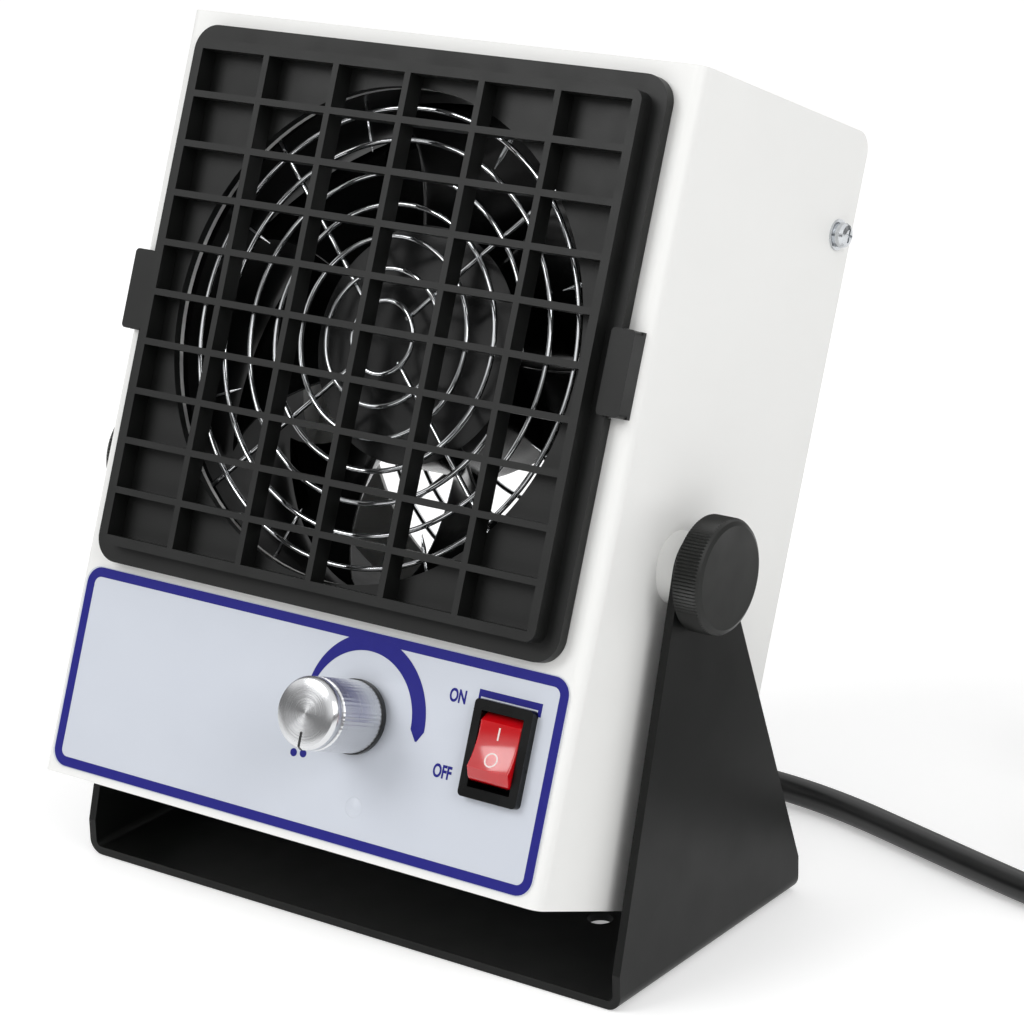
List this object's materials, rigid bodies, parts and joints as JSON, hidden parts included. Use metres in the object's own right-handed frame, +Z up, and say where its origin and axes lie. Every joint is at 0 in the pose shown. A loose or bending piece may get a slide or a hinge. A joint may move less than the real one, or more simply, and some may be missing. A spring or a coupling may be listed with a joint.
{
  "type": "ionizing blower",
  "caption": "Benchtop ionizing air blower: a tilting sheet-metal case with an axial fan, lattice grille, speed knob and rocker switch, clamped between the ears of a bent stand.",
  "frame": {"origin": "on the underside of the stand, midway between its two bench holes and straight below the tilt axis", "axes": "+X to the right along the tilt axis, +Y to the back, +Z up"},
  "size_m": [0.31, 0.2151, 0.197],
  "materials": {
    "case_paint": "white satin powder coat on steel sheet",
    "stand_paint": "black semi-gloss powder coat on steel sheet",
    "grille_plastic": "moulded black plastic, fine satin grain",
    "fan_plastic": "moulded black glass-filled plastic",
    "blade_plastic": "moulded black plastic, glossy",
    "chrome_wire": "bright plated steel wire",
    "plated_steel": "zinc-plated steel",
    "black_steel": "black oxide steel",
    "needle_steel": "ground bright steel",
    "copper_winding": "enamelled copper wire",
    "label_film": "printed polycarbonate film, pale grey blue",
    "turned_aluminium": "turned aluminium, clear anodised",
    "pot_metal": "plated sheet",
    "knob_plastic": "moulded black plastic",
    "switch_plastic": "moulded black nylon",
    "rocker_plastic": "translucent red polycarbonate",
    "tab_brass": "bare brass",
    "lamp_epoxy": "diffused epoxy",
    "board_laminate": "green solder resist",
    "natural_nylon": "natural nylon",
    "potting_resin": "potted dark resin",
    "spacer_rubber": "moulded black rubber",
    "lead_sheath": "black cable sheath, satin",
    "tie_plastic": "black nylon"
  },
  "bodies": {
    "stand": {"stand_bracket": "stand_paint", "spacer_left": "spacer_rubber", "spacer_right": "spacer_rubber", "cord_lead": "lead_sheath", "cord_run": "lead_sheath", "cord_coil": "lead_sheath", "cord_tail": "lead_sheath", "cord_tie": "tie_plastic", "plug_body": "lead_sheath", "plug_pins": "plated_steel"},
    "case": {"front_shell": "case_paint", "rear_cover": "case_paint", "cover_screws": "plated_steel", "screw_washers": "plated_steel", "weld_nuts": "plated_steel", "grille_base": "grille_plastic", "grille_cover": "grille_plastic", "fan_bolts": "black_steel", "fan_nuts": "plated_steel", "guard_washers": "natural_nylon", "front_guard": "chrome_wire", "emitter_ring": "fan_plastic", "emitter_needles": "needle_steel", "fan_frame": "fan_plastic", "fan_stator": "copper_winding", "fan_bearings": "needle_steel", "rear_guard": "chrome_wire", "rear_guard_screws": "plated_steel", "control_label": "label_film", "speed_pot": "pot_metal", "pot_nut": "plated_steel", "switch_body": "switch_plastic", "switch_tabs": "tab_brass", "status_lamp": "lamp_epoxy", "control_board": "board_laminate", "board_posts": "natural_nylon", "hv_transformer": "potting_resin", "strain_relief": "lead_sheath"},
    "rotor": {"fan_hub": "fan_plastic", "fan_blades": "blade_plastic", "fan_shaft": "needle_steel"},
    "dial": {"speed_knob": "turned_aluminium", "knob_collar": "knob_plastic", "pot_shaft": "plated_steel"},
    "rocker": {"switch_rocker": "rocker_plastic"},
    "clamp_left": {"tilt_knob_left": "knob_plastic", "tilt_stud_left": "plated_steel"},
    "clamp_right": {"tilt_knob_right": "knob_plastic", "tilt_stud_right": "plated_steel"}
  },
  "joints": [
    {"name": "case_tilt", "type": "hinge", "parent": "stand", "child": "case", "pos_m": [0, 0, 0.0905], "axis": [1, 0, 0], "range_deg": [-10, 40], "deforming": ["cord_lead"]},
    {"name": "fan_spin", "type": "hinge", "parent": "case", "child": "rotor", "pos_m": [0, 0.01809, 0.1226], "axis": [0, 0.9298, -0.3681], "continuous": true},
    {"name": "speed_turn", "type": "hinge", "parent": "case", "child": "dial", "pos_m": [0.016, -0.04278, 0.0585], "axis": [0, 0.9298, -0.3681], "range_deg": [0, 270]},
    {"name": "switch_rock", "type": "hinge", "parent": "case", "child": "rocker", "pos_m": [0.0538, -0.03999, 0.0574], "axis": [1, 0, 0], "range_deg": [0, 22]},
    {"name": "left_clamp_turn", "type": "hinge", "parent": "case", "child": "clamp_left", "pos_m": [-0.0766, 0, 0.0905], "axis": [1, 0, 0], "range_deg": [0, 360]},
    {"name": "right_clamp_turn", "type": "hinge", "parent": "case", "child": "clamp_right", "pos_m": [0.0766, 0, 0.0905], "axis": [-1, 0, 0], "range_deg": [0, 360]}
  ]
}
